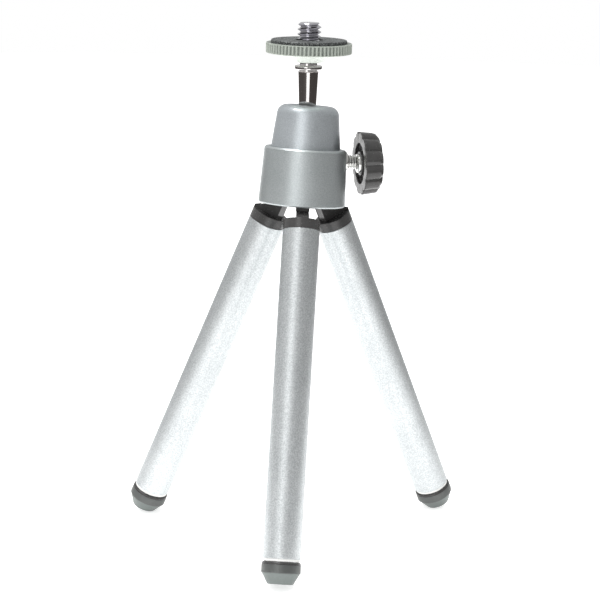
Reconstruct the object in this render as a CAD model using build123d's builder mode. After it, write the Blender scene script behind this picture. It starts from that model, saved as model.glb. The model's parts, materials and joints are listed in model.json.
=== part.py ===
"""Tabletop mini tripod: ball head with a 1/4 inch camera screw, a lock knob and three
telescopic legs that fold together under the collar.  Millimetres, +Z up.

The origin is on the floor, straight below the ball.  The camera stem stands upright.
The legs are spread by unequal angles, so the housing leans, and the ball makes up for it.
"""
from build123d import *
from math import cos, pi, radians, sin, sqrt, tan
import os

# %% clearances
SNUG = 0.02          # pieces that stay put in one another
RUN = 0.05           # turning and sliding fits, on the radius
FREE = 0.3           # pieces that pass without touching

# %% ball, stem and camera screw; heights count from the ball's centre, up the stem
BALL_R = 6.25
STEM_FOOT_R = 2.35
STEM_HEAD_R = 2.78
STEM_TOP = 16.0
RING_R = 2.45        # polished ring between the stem and the flange
RING_H = 0.6
FLANGE_R = 3.75
FLANGE_H = 0.95
FLANGE_CHAMFER = 0.25
NECK_R = 2.35
PIVOT_PIN_R = 1.4    # the stud's lower pin, in the stem
PIVOT_PIN_LEN = 6.0
SCREW_R = 25.4 / 4 / 2
SCREW_PROUD = 4.5    # above the pad
SCREW_TIP = 0.7      # chamfer of the screw's tip
UNDERCUT_R = 2.8
UNDERCUT_H = 1.2

# %% lock disc
DISC_R = 11.5
DISC_RIM_H = 2.7
DISC_RIBS = 66
RIB_DEPTH = 0.28
DISC_HUB_R = 4.3
DISC_HUB_H = 2.35
DISC_CONE_R = 9.0
DISC_GAP = 0.98      # between the disc's hub and the flange
PAD_R = 10.2
PAD_PROUD = 0.85
PAD_SUNK = 0.5
PAD_HOLE_R = 3.6
INSERT_R = 4.2
INSERT_FLANGE_R = 5.2
INSERT_FLANGE_H = 0.8

# %% housing; heights count from the collar's lower rim, up the housing's own axis
COLLAR_H = 15.35
COLLAR_R_LOW = 11.85
COLLAR_R_TOP = 11.15
COLLAR_WALL = 1.4
COLLAR_EDGE = 0.45   # chamfer of the upper edge
LEDGE_GROOVE = 0.3
WEB_LOW = 7.7        # web that parts the leg space from the cup's space
WEB_UNDER = 0.6      # between the web and the clamp screw
DOME_H = 11.45
DOME_R = 9.4
DOME_R_TOP = 8.15    # where its side would meet the top plane
DOME_SHOULDER = 2.6
DOME_WALL_R = 8.0    # the cup's bore
DOME_THROAT_R = 5.3
THROAT_LIP = 0.45
SPIGOT_R = 9.05      # the dome's lower end, screwed into the collar
BALL_ABOVE_COLLAR = 4.6
SEAT_RUN = 0.07      # between the ball and its seats
CUP_RIM_DROP = 3.73  # the cup's rim, below the ball's centre
CUP_LIFT_ROOM = 0.72

# %% knob and clamp
KNOB_AZIMUTH = 12.0
CLAMP_DROP = 3.15    # the clamp screw's axis, below the collar's upper edge
CLAMP_R = 2.0        # M4
CLAMP_PITCH = 0.7
WEDGE_NOSE = 1.9     # the pin's nose, from the housing's axis
WEDGE_SLOPE = 45.0
WEDGE_FOOT = 1.4     # where the slope would meet the pin's underside
PIN_END = 8.25
KNOB_R = 8.75
KNOB_VALLEY_R = 8.1
KNOB_LOBES = 12
KNOB_T = 5.2
KNOB_TAPER = 6.0     # its grip narrows outwards
KNOB_START = 15.2    # the knob's inner face, from the housing's axis
KNOB_TILT = 5.3      # it sits askew on its screw, outer face turned up
KNOB_RECESS_R = 5.6
KNOB_RECESS = 1.1
KNOB_BOSS_R = 3.3
KNOB_EDGE = 1.1
SCREW_IN_KNOB = 3.6
BUSHING_R = 2.6      # threaded bushing in the collar's wall
BUSHING_PROUD = 0.25

# %% legs; lengths count from the hinge, down the leg
LEG_AZIMUTHS = {"front": -87.55, "right": 32.45, "left": 152.45}
LEG_SPREADS = {"front": 16.3, "right": 28.0, "left": 21.4}
SPREAD_MAX = 29.5    # where the tongue's cut edge comes up under the collar's rim
PIVOT_R = 6.5
PIVOT_Z = 3.85
HINGE_PIN_R = 1.0
HINGE_PIN_LEN = 8.2
TONGUE_T = 3.3
TONGUE_SIDE = 0.1    # play at each side of the tongue
TONGUE_OUT = 4.6
TONGUE_IN = 3.2
EYE_R = 2.6
BAND_H = 2.7
TUBE_R = 5.0
TUBE_WALL = 0.5
TUBE_TOP = 10.5
TUBE_LEN = 86.8
PLUG_LEN = 9.0
INNER_R = 4.1
INNER_WALL = 0.4
INNER_TOP = 30.0
STOP_LEN = 3.0
STOP_CAP = 1.2
BUSH_LEN = 8.0
BUSH_FLANGE_R = 4.8
BUSH_FLANGE_H = 0.7
FOOT_R = 5.2
FOOT_BAND_H = 2.9
FOOT_TAPER_H = 2.95
FOOT_SOLE_R = 3.35
FOOT_EDGE = 0.8
SOLE_EDGE = 0.3
FOOT_GAP = 0.05
FOOT_DEPTH = 2.3     # how far the inner tube goes into the foot
FOOT_PEG = 6.0
HUB_LOW = 0.8
HUB_CORE_R = 2.9
HUB_SCREW_R = 1.5
HUB_SCREW_HEAD_R = 2.7
HUB_SCREW_HEAD_H = 1.7
HUB_SCREW_LEN = 8.0

# %% worked out
BALL_Z = COLLAR_H + BALL_ABOVE_COLLAR
CLAMP_Z = COLLAR_H - CLAMP_DROP
WEB_TOP = CLAMP_Z - CLAMP_R - WEB_UNDER
DOME_TOP = COLLAR_H + DOME_H
FLANGE_LOW = STEM_TOP + RING_H
FLANGE_TOP = FLANGE_LOW + FLANGE_H
HUB_FACE = FLANGE_TOP + DISC_GAP
DISC_LOW = HUB_FACE + DISC_HUB_H
DISC_TOP = DISC_LOW + DISC_RIM_H
PAD_TOP = DISC_TOP + PAD_PROUD
SCREW_TOP = PAD_TOP + SCREW_PROUD
TUBE_BORE = TUBE_R - TUBE_WALL
TUBE_END = TUBE_TOP + TUBE_LEN
FOOT_TOP = TUBE_END + BUSH_FLANGE_H + FOOT_GAP
LEG_END = FOOT_TOP + FOOT_BAND_H + FOOT_TAPER_H
COLLAR_BORE = COLLAR_R_LOW - COLLAR_WALL
THREAD_BORE = SCREW_R + RUN


def radial(azimuth, out, height):
    """A point of the housing's frame, from its azimuth, its distance out and its height."""
    return Vector(out * cos(radians(azimuth)), out * sin(radians(azimuth)), height)


def leg_direction(name, spread):
    """Unit vector down a leg, in the housing's frame."""
    return radial(LEG_AZIMUTHS[name], sin(radians(spread)), -cos(radians(spread)))


def lowest_point(name, up):
    """The point of a foot that is lowest when the direction up points away from the floor."""
    down_leg = leg_direction(name, LEG_SPREADS[name])
    centre = radial(LEG_AZIMUTHS[name], PIVOT_R, PIVOT_Z) + down_leg * (LEG_END - SOLE_EDGE)
    across = (up - down_leg * up.dot(down_leg)).normalized()
    return centre - across * (FOOT_SOLE_R - SOLE_EDGE) - up * SOLE_EDGE


def floor_normal():
    """The upward normal of the plane that all three feet stand on."""
    up = Vector(0, 0, 1)
    for _ in range(12):
        front, right, left = (lowest_point(name, up) for name in LEG_AZIMUTHS)
        up = (right - front).cross(left - front).normalized()
    return up


# %% frames
UP = floor_normal()
EAST = (Vector(1, 0, 0) - UP * UP.X).normalized()
NORTH = UP.cross(EAST)
BALL_HEIGHT = (Vector(0, 0, BALL_Z) - lowest_point("front", UP)).dot(UP)
STEM = Plane.XY.offset(BALL_HEIGHT)
HEAD_UP = Vector(EAST.Z, NORTH.Z, UP.Z)
HEAD = Plane(
    origin=Vector(0, 0, BALL_HEIGHT) - HEAD_UP * BALL_Z,
    x_dir=Vector(EAST.X, NORTH.X, UP.X),
    z_dir=HEAD_UP,
)


def frame_at(azimuth, out, height, along, across):
    """A frame in the housing: its Z runs along one direction and its X along another."""
    start = HEAD.from_local_coords(radial(azimuth, out, height))
    z_dir = HEAD.from_local_coords(radial(azimuth, out, height) + along) - start
    x_dir = HEAD.from_local_coords(radial(azimuth, out, height) + across) - start
    return Plane(origin=start, x_dir=x_dir, z_dir=z_dir)


def leg_frame(name):
    """Origin at the hinge, Z down the leg, X outward from the housing's axis."""
    spread = radians(LEG_SPREADS[name])
    outward = radial(LEG_AZIMUTHS[name], cos(spread), sin(spread))
    down = leg_direction(name, LEG_SPREADS[name])
    return frame_at(LEG_AZIMUTHS[name], PIVOT_R, PIVOT_Z, down, outward)


def section(frame):
    """The plane that holds a frame's axis: X across it, Y along it."""
    return Plane(origin=frame.origin, x_dir=frame.x_dir, z_dir=-frame.y_dir)


def axis_of(frame):
    """A frame's Z axis."""
    return Axis(frame.origin, frame.z_dir)


CLAMP = frame_at(KNOB_AZIMUTH, 0, CLAMP_Z, radial(KNOB_AZIMUTH, 1, 0), Vector(0, 0, 1))
LEGS = {name: leg_frame(name) for name in LEG_AZIMUTHS}

os.makedirs("parts", exist_ok=True)


def save(part, label):
    """Labels a finished piece and writes it."""
    part.label = label
    export_step(part, f"parts/{label}.step")


# %% ball
with BuildPart() as ball:
    with BuildSketch(section(STEM)):
        with BuildLine():
            CenterArc((0, 0), BALL_R, -90, 180)
            Line((0, -BALL_R), (0, BALL_R))
        make_face()
    revolve(axis=axis_of(STEM))
save(ball.part, "ball")

# %% stem: tapered, with a hollow foot that rides on the ball
FOOT_SPHERE = BALL_R + SEAT_RUN
FOOT_RISE = sqrt(FOOT_SPHERE**2 - STEM_FOOT_R**2)
with BuildPart() as stem:
    with BuildSketch(section(STEM)):
        with BuildLine():
            RadiusArc((0, FOOT_SPHERE), (STEM_FOOT_R, FOOT_RISE), FOOT_SPHERE)
            Polyline(
                (STEM_FOOT_R, FOOT_RISE),
                (STEM_HEAD_R, STEM_TOP),
                (RING_R, STEM_TOP),
                (RING_R, FLANGE_LOW),
                (PIVOT_PIN_R + RUN, FLANGE_LOW),
                (PIVOT_PIN_R + RUN, FLANGE_LOW - PIVOT_PIN_LEN - FREE),
                (0, FLANGE_LOW - PIVOT_PIN_LEN - FREE),
                (0, FOOT_SPHERE),
            )
        make_face()
    revolve(axis=axis_of(STEM))
save(stem.part, "stem")

# %% camera stud: lower pin, flange, neck and the 1/4 inch screw
with BuildPart() as camera_stud:
    with BuildSketch(section(STEM)):
        with BuildLine():
            Polyline(
                (0, FLANGE_LOW - PIVOT_PIN_LEN),
                (PIVOT_PIN_R, FLANGE_LOW - PIVOT_PIN_LEN),
                (PIVOT_PIN_R, FLANGE_LOW),
                (FLANGE_R - FLANGE_CHAMFER, FLANGE_LOW),
                (FLANGE_R, FLANGE_LOW + FLANGE_CHAMFER),
                (FLANGE_R, FLANGE_TOP - FLANGE_CHAMFER),
                (FLANGE_R - FLANGE_CHAMFER, FLANGE_TOP),
                (NECK_R, FLANGE_TOP),
                (NECK_R, HUB_FACE),
                (SCREW_R, HUB_FACE + SCREW_R - NECK_R),
                (SCREW_R, PAD_TOP - UNDERCUT_H),
                (UNDERCUT_R, PAD_TOP - UNDERCUT_H),
                (UNDERCUT_R, PAD_TOP),
                (SCREW_R, PAD_TOP),
                (SCREW_R, SCREW_TOP - SCREW_TIP),
                (SCREW_R - SCREW_TIP, SCREW_TOP),
                (0, SCREW_TOP),
                close=True,
            )
        make_face()
    revolve(axis=axis_of(STEM))
save(camera_stud.part, "camera_stud")

# %% threaded insert of the lock disc
with BuildPart() as disc_insert:
    with BuildSketch(section(STEM)):
        with BuildLine():
            Polyline(
                (THREAD_BORE, HUB_FACE + INSERT_FLANGE_H),
                (INSERT_R, HUB_FACE + INSERT_FLANGE_H),
                (INSERT_R, DISC_TOP - PAD_SUNK - INSERT_FLANGE_H),
                (INSERT_FLANGE_R, DISC_TOP - PAD_SUNK - INSERT_FLANGE_H),
                (INSERT_FLANGE_R, DISC_TOP - PAD_SUNK),
                (THREAD_BORE, DISC_TOP - PAD_SUNK),
                close=True,
            )
        make_face()
    revolve(axis=axis_of(STEM))
save(disc_insert.part, "disc_insert")

# %% lock disc: knurled rim, sunk top for the pad and a conical hub
with BuildPart() as lock_disc:
    with BuildSketch(section(STEM)):
        with BuildLine():
            Polyline(
                (THREAD_BORE, HUB_FACE),
                (DISC_HUB_R, HUB_FACE),
                (DISC_CONE_R, DISC_LOW - RUN),
                (DISC_R, DISC_LOW),
                (DISC_R, DISC_TOP),
                (PAD_R + RUN, DISC_TOP),
                (PAD_R + RUN, DISC_TOP - PAD_SUNK),
                (INSERT_FLANGE_R + RUN, DISC_TOP - PAD_SUNK),
                (INSERT_FLANGE_R + RUN, DISC_TOP - PAD_SUNK - INSERT_FLANGE_H - RUN),
                (INSERT_R + RUN, DISC_TOP - PAD_SUNK - INSERT_FLANGE_H - RUN),
                (INSERT_R + RUN, HUB_FACE + INSERT_FLANGE_H - RUN),
                (THREAD_BORE, HUB_FACE + INSERT_FLANGE_H - RUN),
                close=True,
            )
        make_face()
    revolve(axis=axis_of(STEM))
    with BuildSketch(STEM.offset(DISC_LOW)):
        with PolarLocations(DISC_R, DISC_RIBS):
            Circle(RIB_DEPTH)
    extrude(amount=DISC_RIM_H, mode=Mode.SUBTRACT)
save(lock_disc.part, "lock_disc")

# %% rubber pad under the camera
with BuildPart() as disc_pad:
    with BuildSketch(STEM.offset(DISC_TOP - PAD_SUNK)):
        Circle(PAD_R)
        Circle(PAD_HOLE_R, mode=Mode.SUBTRACT)
    extrude(amount=PAD_SUNK + PAD_PROUD)
save(disc_pad.part, "disc_pad")

# %% dome: the upper housing, with the ball's seat and throat
SEAT_SPHERE = BALL_R + SEAT_RUN
SEAT_RISE = sqrt(SEAT_SPHERE**2 - DOME_THROAT_R**2)
SIDE_SLOPE = (DOME_R - DOME_R_TOP) / DOME_H
CUP_LOW = WEB_TOP + CUP_LIFT_ROOM
CUP_TOP = BALL_Z - CUP_RIM_DROP
CLAMP_HOLE_R = CLAMP_R + FREE
with BuildPart() as dome:
    with BuildSketch(section(HEAD)):
        with BuildLine():
            Polyline(
                (DOME_THROAT_R, BALL_Z + SEAT_RISE),
                (DOME_THROAT_R, DOME_TOP),
                (DOME_R_TOP, DOME_TOP),
                (DOME_R, COLLAR_H),
                (SPIGOT_R, COLLAR_H),
                (SPIGOT_R, WEB_TOP + SNUG),
                (DOME_WALL_R, WEB_TOP + SNUG),
                (DOME_WALL_R, CUP_TOP + FREE),
                (SEAT_SPHERE, CUP_TOP + FREE),
                (SEAT_SPHERE, BALL_Z),
            )
            RadiusArc((SEAT_SPHERE, BALL_Z), (DOME_THROAT_R, BALL_Z + SEAT_RISE), -SEAT_SPHERE)
        make_face()
    revolve(axis=axis_of(HEAD))
    top_edges = dome.edges().filter_by(GeomType.CIRCLE).sort_by(axis_of(HEAD))[-2:]
    fillet(top_edges.sort_by(SortBy.RADIUS)[-1:], DOME_SHOULDER)
    top_edges = dome.edges().filter_by(GeomType.CIRCLE).sort_by(axis_of(HEAD))[-2:]
    fillet(top_edges.sort_by(SortBy.RADIUS)[:1], THROAT_LIP)
    with BuildSketch(CLAMP):
        Circle(CLAMP_HOLE_R)
    extrude(amount=SPIGOT_R + FREE, mode=Mode.SUBTRACT)
save(dome.part, "dome")

# %% collar: the lower housing, leg space below, cup space above
with BuildPart() as collar:
    with BuildSketch(section(HEAD)):
        with BuildLine():
            Polyline(
                (COLLAR_BORE, 0),
                (COLLAR_R_LOW, 0),
                (COLLAR_R_TOP, COLLAR_H - COLLAR_EDGE),
                (COLLAR_R_TOP - COLLAR_EDGE, COLLAR_H),
                (DOME_R + 2 * LEDGE_GROOVE, COLLAR_H),
                (DOME_R + LEDGE_GROOVE, COLLAR_H - LEDGE_GROOVE),
                (DOME_R, COLLAR_H - LEDGE_GROOVE),
                (DOME_R - LEDGE_GROOVE / 2, COLLAR_H - SNUG),
                (SPIGOT_R + SNUG, COLLAR_H - SNUG),
                (SPIGOT_R + SNUG, WEB_TOP),
                (HUB_SCREW_R, WEB_TOP),
                (HUB_SCREW_R, WEB_LOW),
                (COLLAR_BORE, WEB_LOW),
                close=True,
            )
        make_face()
    revolve(axis=axis_of(HEAD))
    with BuildSketch(CLAMP):
        Circle(BUSHING_R + SNUG)
    extrude(amount=COLLAR_R_LOW + FREE, mode=Mode.SUBTRACT)
save(collar.part, "collar")

# %% threaded bushing in the collar's wall
COLLAR_R_CLAMP = COLLAR_R_LOW + (COLLAR_R_TOP - COLLAR_R_LOW) * CLAMP_Z / COLLAR_H
with BuildPart() as knob_bushing:
    with BuildSketch(CLAMP.offset(SPIGOT_R + SNUG)):
        Circle(BUSHING_R)
        Circle(CLAMP_R + RUN, mode=Mode.SUBTRACT)
    extrude(amount=COLLAR_R_CLAMP + BUSHING_PROUD - SPIGOT_R - SNUG)
save(knob_bushing.part, "knob_bushing")

# %% pressure cup: carries the ball, and is lifted by the wedge
WEDGE_RISE = tan(radians(WEDGE_SLOPE))
PIN_LOW = CLAMP_Z - CLAMP_R
SLOT_TOP = CLAMP_Z + CLAMP_R + CUP_LIFT_ROOM + RUN
CUP_RIM_R = sqrt(SEAT_SPHERE**2 - (BALL_Z - CUP_TOP) ** 2)
CUP_SLOPE_FOOT = WEDGE_FOOT - RUN
CLAMP_SECTION = Plane(origin=HEAD.origin, x_dir=CLAMP.z_dir, z_dir=CLAMP.z_dir.cross(HEAD.z_dir))
with BuildPart() as pressure_cup:
    with BuildSketch(section(HEAD)):
        with BuildLine():
            Line((0, CUP_LOW), (DOME_WALL_R - RUN, CUP_LOW))
            Line((DOME_WALL_R - RUN, CUP_LOW), (DOME_WALL_R - RUN, CUP_TOP))
            Line((DOME_WALL_R - RUN, CUP_TOP), (CUP_RIM_R, CUP_TOP))
            RadiusArc((CUP_RIM_R, CUP_TOP), (0, BALL_Z - SEAT_SPHERE), SEAT_SPHERE)
            Line((0, BALL_Z - SEAT_SPHERE), (0, CUP_LOW))
        make_face()
    revolve(axis=axis_of(HEAD))
    with BuildSketch(CLAMP_SECTION):
        with BuildLine():
            Polyline(
                (CUP_SLOPE_FOOT + (CUP_LOW - PIN_LOW) / WEDGE_RISE, CUP_LOW),
                (CUP_SLOPE_FOOT + (SLOT_TOP - PIN_LOW) / WEDGE_RISE, SLOT_TOP),
                (DOME_WALL_R + FREE, SLOT_TOP),
                (DOME_WALL_R + FREE, CUP_LOW),
                close=True,
            )
        make_face()
    extrude(amount=CLAMP_R + RUN, both=True, mode=Mode.SUBTRACT)
save(pressure_cup.part, "pressure_cup")

# %% wedge pin: pushed in by the clamp screw, it doesn't turn
with BuildPart() as wedge_pin:
    with BuildSketch(CLAMP.offset(WEDGE_NOSE)):
        Circle(CLAMP_R)
    extrude(amount=PIN_END - WEDGE_NOSE)
    with BuildSketch(CLAMP_SECTION):
        with BuildLine():
            Polyline(
                (WEDGE_FOOT - CLAMP_R, PIN_LOW - CLAMP_R * WEDGE_RISE),
                (WEDGE_FOOT + 3 * CLAMP_R / WEDGE_RISE, PIN_LOW + 3 * CLAMP_R),
                (WEDGE_FOOT - CLAMP_R, PIN_LOW + 3 * CLAMP_R),
                close=True,
            )
        make_face()
    extrude(amount=2 * CLAMP_R, both=True, mode=Mode.SUBTRACT)
save(wedge_pin.part, "wedge_pin")

# %% clamp screw and its knob
SCREW_END = KNOB_START + SCREW_IN_KNOB
with BuildPart() as knob_screw:
    with BuildSketch(CLAMP.offset(PIN_END)):
        Circle(CLAMP_R)
    extrude(amount=SCREW_END - PIN_END)
save(knob_screw.part, "knob_screw")

HALF_LOBE = pi / KNOB_LOBES
LOBE_SAG = KNOB_R - KNOB_VALLEY_R * cos(HALF_LOBE)
lean = radians(KNOB_TILT)
KNOB_SEAT = Plane(
    origin=CLAMP.from_local_coords((0, 0, KNOB_START + KNOB_T / 2)),
    x_dir=CLAMP.x_dir * cos(lean) - CLAMP.z_dir * sin(lean),
    z_dir=CLAMP.z_dir * cos(lean) + CLAMP.x_dir * sin(lean),
).offset(-KNOB_T / 2)
with BuildPart() as knob:
    with BuildSketch(KNOB_SEAT):
        with BuildLine():
            for lobe in range(KNOB_LOBES):
                start = 360 / KNOB_LOBES * lobe + 90
                first, last = (
                    Vector(KNOB_VALLEY_R, 0).rotate(Axis.Z, start + turn)
                    for turn in (0, 360 / KNOB_LOBES)
                )
                crest = Vector(KNOB_R, 0).rotate(Axis.Z, start + 180 / KNOB_LOBES)
                ThreePointArc(first, crest, last)
        make_face()
    extrude(amount=KNOB_T, taper=KNOB_TAPER)
    rims = knob.faces().filter_by(GeomType.PLANE).sort_by(axis_of(KNOB_SEAT))
    chamfer(rims[-1].edges(), KNOB_EDGE)
    with BuildSketch(KNOB_SEAT):
        Circle(KNOB_RECESS_R)
        Circle(KNOB_BOSS_R, mode=Mode.SUBTRACT)
    extrude(amount=KNOB_RECESS, mode=Mode.SUBTRACT)
    with BuildSketch(CLAMP.offset(KNOB_START - KNOB_BOSS_R)):
        Circle(CLAMP_R + SNUG)
    extrude(amount=SCREW_IN_KNOB + KNOB_BOSS_R + SNUG, mode=Mode.SUBTRACT)
save(knob.part, "knob")

# %% leg hub: three slots for the tongues, blind holes for the hinge pins
EYE_TOP = PIVOT_Z + EYE_R + FREE
with BuildPart() as leg_hub:
    with BuildSketch(HEAD.offset(HUB_LOW)):
        Circle(COLLAR_BORE - SNUG)
        Circle(HUB_SCREW_R + SNUG, mode=Mode.SUBTRACT)
    extrude(amount=WEB_LOW - SNUG - HUB_LOW)
    for azimuth in LEG_AZIMUTHS.values():
        with BuildSketch(frame_at(azimuth, 0, HUB_LOW, Vector(0, 0, 1), radial(azimuth, 1, 0))):
            with Locations((HUB_CORE_R, 0)):
                Rectangle(
                    COLLAR_R_LOW, TONGUE_T + 2 * TONGUE_SIDE, align=(Align.MIN, Align.CENTER)
                )
        extrude(amount=EYE_TOP - HUB_LOW, mode=Mode.SUBTRACT)
        with BuildSketch(
            frame_at(azimuth, PIVOT_R, PIVOT_Z, radial(azimuth + 90, 1, 0), Vector(0, 0, 1))
        ):
            Circle(HINGE_PIN_R + SNUG)
        extrude(amount=HINGE_PIN_LEN / 2 + SNUG, both=True, mode=Mode.SUBTRACT)
save(leg_hub.part, "leg_hub")

# %% screw that holds the hub up against the web
with BuildPart() as hub_screw:
    with BuildSketch(section(HEAD)):
        with BuildLine():
            Polyline(
                (0, HUB_LOW - HUB_SCREW_HEAD_H),
                (HUB_SCREW_HEAD_R - FREE, HUB_LOW - HUB_SCREW_HEAD_H),
                (HUB_SCREW_HEAD_R, HUB_LOW - HUB_SCREW_HEAD_H + FREE),
                (HUB_SCREW_HEAD_R, HUB_LOW),
                (HUB_SCREW_R, HUB_LOW),
                (HUB_SCREW_R, HUB_LOW + HUB_SCREW_LEN),
                (0, HUB_LOW + HUB_SCREW_LEN),
                close=True,
            )
        make_face()
    revolve(axis=axis_of(HEAD))
save(hub_screw.part, "hub_screw")


# %% pieces of one leg
def make_hinge_pin(name):
    """The pin that the tongue turns on."""
    azimuth = LEG_AZIMUTHS[name]
    tangent = radial(azimuth + 90, 1, 0)
    with BuildPart() as hinge_pin:
        with BuildSketch(frame_at(azimuth, PIVOT_R, PIVOT_Z, tangent, Vector(0, 0, 1))):
            Circle(HINGE_PIN_R)
        extrude(amount=HINGE_PIN_LEN / 2, both=True)
    return hinge_pin.part


def make_leg_plug(leg):
    """Hinge tongue, band and the spigot in the outer tube, one moulding."""
    band_top = TUBE_TOP - BAND_H
    open_by = radians(SPREAD_MAX)
    rim_drop = PIVOT_Z + FREE
    cut_start = COLLAR_BORE - FREE - PIVOT_R
    corner = (
        cut_start * cos(open_by) - rim_drop * sin(open_by),
        rim_drop * cos(open_by) + cut_start * sin(open_by),
    )
    cut_end = (TONGUE_OUT, (rim_drop + TONGUE_OUT * sin(open_by)) / cos(open_by))
    with BuildPart() as leg_plug:
        with BuildSketch(leg.offset(band_top)):
            Circle(TUBE_R)
        extrude(amount=BAND_H)
        with BuildSketch(leg.offset(TUBE_TOP)):
            Circle(TUBE_BORE - SNUG)
        extrude(amount=PLUG_LEN)
        with BuildSketch(section(leg)):
            with BuildLine():
                Polyline(
                    (EYE_R * cos(radians(20)), EYE_R * sin(radians(20))),
                    corner,
                    cut_end,
                    (TONGUE_OUT, band_top + FREE),
                    (-TONGUE_IN, band_top + FREE),
                    (-TONGUE_IN, EYE_R),
                    (-EYE_R * cos(radians(20)), EYE_R * sin(radians(20))),
                    close=True,
                )
            make_face()
            Circle(EYE_R)
            Circle(HINGE_PIN_R + RUN, mode=Mode.SUBTRACT)
        extrude(amount=TONGUE_T / 2, both=True)
    return leg_plug.part


def make_outer_tube(leg):
    """Outer leg tube."""
    with BuildPart() as outer_tube:
        with BuildSketch(leg.offset(TUBE_TOP)):
            Circle(TUBE_R)
            Circle(TUBE_BORE, mode=Mode.SUBTRACT)
        extrude(amount=TUBE_LEN)
    return outer_tube.part


def make_slide_bush(leg):
    """Friction bush in the outer tube's lower end, with a flange that shows below it."""
    with BuildPart() as slide_bush:
        with BuildSketch(leg.offset(TUBE_END - BUSH_LEN)):
            Circle(TUBE_BORE - SNUG)
            Circle(INNER_R + RUN, mode=Mode.SUBTRACT)
        extrude(amount=BUSH_LEN)
        with BuildSketch(leg.offset(TUBE_END)):
            Circle(BUSH_FLANGE_R)
            Circle(INNER_R + RUN, mode=Mode.SUBTRACT)
        extrude(amount=BUSH_FLANGE_H)
    return slide_bush.part


def make_inner_tube(leg):
    """Inner leg tube, drawn in the pushed-in position."""
    with BuildPart() as inner_tube:
        with BuildSketch(leg.offset(INNER_TOP)):
            Circle(INNER_R)
            Circle(INNER_R - INNER_WALL, mode=Mode.SUBTRACT)
        extrude(amount=FOOT_TOP + FOOT_DEPTH - INNER_TOP)
    return inner_tube.part


def make_stop_cap(leg):
    """Cap on the inner tube's upper end; it stops the tube from pulling out."""
    with BuildPart() as stop_cap:
        with BuildSketch(leg.offset(INNER_TOP - STOP_CAP)):
            Circle(TUBE_BORE - 2 * RUN)
        extrude(amount=STOP_CAP + STOP_LEN)
        with BuildSketch(leg.offset(INNER_TOP)):
            Circle(INNER_R + SNUG)
        extrude(amount=STOP_LEN, mode=Mode.SUBTRACT)
    return stop_cap.part


def make_foot(leg):
    """Rubber foot pushed over the inner tube's end, with a peg inside the tube."""
    band_low = FOOT_TOP + FOOT_BAND_H
    tube_low = FOOT_TOP + FOOT_DEPTH + SNUG
    peg_r = INNER_R - INNER_WALL - SNUG
    with BuildPart() as foot:
        with BuildSketch(section(leg)):
            with BuildLine():
                Polyline(
                    (0, FOOT_TOP - FOOT_PEG),
                    (peg_r, FOOT_TOP - FOOT_PEG),
                    (peg_r, tube_low),
                    (INNER_R + SNUG, tube_low),
                    (INNER_R + SNUG, FOOT_TOP),
                    (FOOT_R, FOOT_TOP),
                    (FOOT_R, band_low),
                    (FOOT_SOLE_R, LEG_END),
                    (0, LEG_END),
                    close=True,
                )
            make_face()
        revolve(axis=axis_of(leg))
        rings = foot.edges().filter_by(GeomType.CIRCLE)
        sole = rings.sort_by(axis_of(leg))[-1:]
        fillet(sole, SOLE_EDGE)
        rings = foot.edges().filter_by(GeomType.CIRCLE)
        shoulder = rings.filter_by_position(axis_of(leg), FOOT_TOP - SNUG, FOOT_TOP + SNUG)
        fillet(shoulder.sort_by(SortBy.RADIUS)[-1:], FOOT_EDGE)
    return foot.part


for name, leg in LEGS.items():
    save(make_hinge_pin(name), f"hinge_pin_{name}")
    save(make_leg_plug(leg), f"leg_plug_{name}")
    save(make_outer_tube(leg), f"outer_tube_{name}")
    save(make_slide_bush(leg), f"slide_bush_{name}")
    save(make_inner_tube(leg), f"inner_tube_{name}")
    save(make_stop_cap(leg), f"stop_cap_{name}")
    save(make_foot(leg), f"foot_{name}")

print("ball height", round(BALL_HEIGHT, 4), "overall height", round(BALL_HEIGHT + SCREW_TOP, 4))
print("head up", tuple(HEAD_UP), "head origin", tuple(HEAD.origin))
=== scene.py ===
# %% [markdown]
# # Tabletop mini tripod
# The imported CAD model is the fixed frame. Each piece that shows gets a detailed mesh
# in the same place, which rides on the CAD body it belongs to.

import json
from math import ceil, cos, pi, radians, sin, tan

import bmesh
import bpy
from mathutils import Matrix, Quaternion, Vector


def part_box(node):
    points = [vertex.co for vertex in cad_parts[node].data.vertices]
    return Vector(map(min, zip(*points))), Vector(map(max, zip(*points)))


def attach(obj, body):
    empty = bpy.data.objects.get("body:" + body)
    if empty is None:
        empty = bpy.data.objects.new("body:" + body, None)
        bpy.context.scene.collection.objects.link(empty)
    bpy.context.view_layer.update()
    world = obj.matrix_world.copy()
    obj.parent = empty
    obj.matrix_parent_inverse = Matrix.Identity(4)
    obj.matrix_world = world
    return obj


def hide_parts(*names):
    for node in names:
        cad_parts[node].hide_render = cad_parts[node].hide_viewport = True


MM = 0.001
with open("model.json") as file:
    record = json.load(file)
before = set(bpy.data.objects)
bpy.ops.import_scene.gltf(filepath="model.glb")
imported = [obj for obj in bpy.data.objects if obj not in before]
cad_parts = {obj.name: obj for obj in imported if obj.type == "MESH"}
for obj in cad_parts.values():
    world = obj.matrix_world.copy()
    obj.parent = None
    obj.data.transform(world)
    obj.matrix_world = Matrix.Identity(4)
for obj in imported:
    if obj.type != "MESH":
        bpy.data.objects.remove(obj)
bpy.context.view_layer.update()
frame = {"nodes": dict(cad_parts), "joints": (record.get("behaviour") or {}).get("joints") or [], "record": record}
joints = {joint["name"]: joint for joint in frame["joints"]}

# %% [markdown]
# ## Camera
# A long lens from in front and a little above, turned by a degree and a half about
# its own axis. It looks at the middle of the tripod. A long lens keeps the three legs
# at nearly the same scale, so their unequal spread reads as it is.

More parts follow.
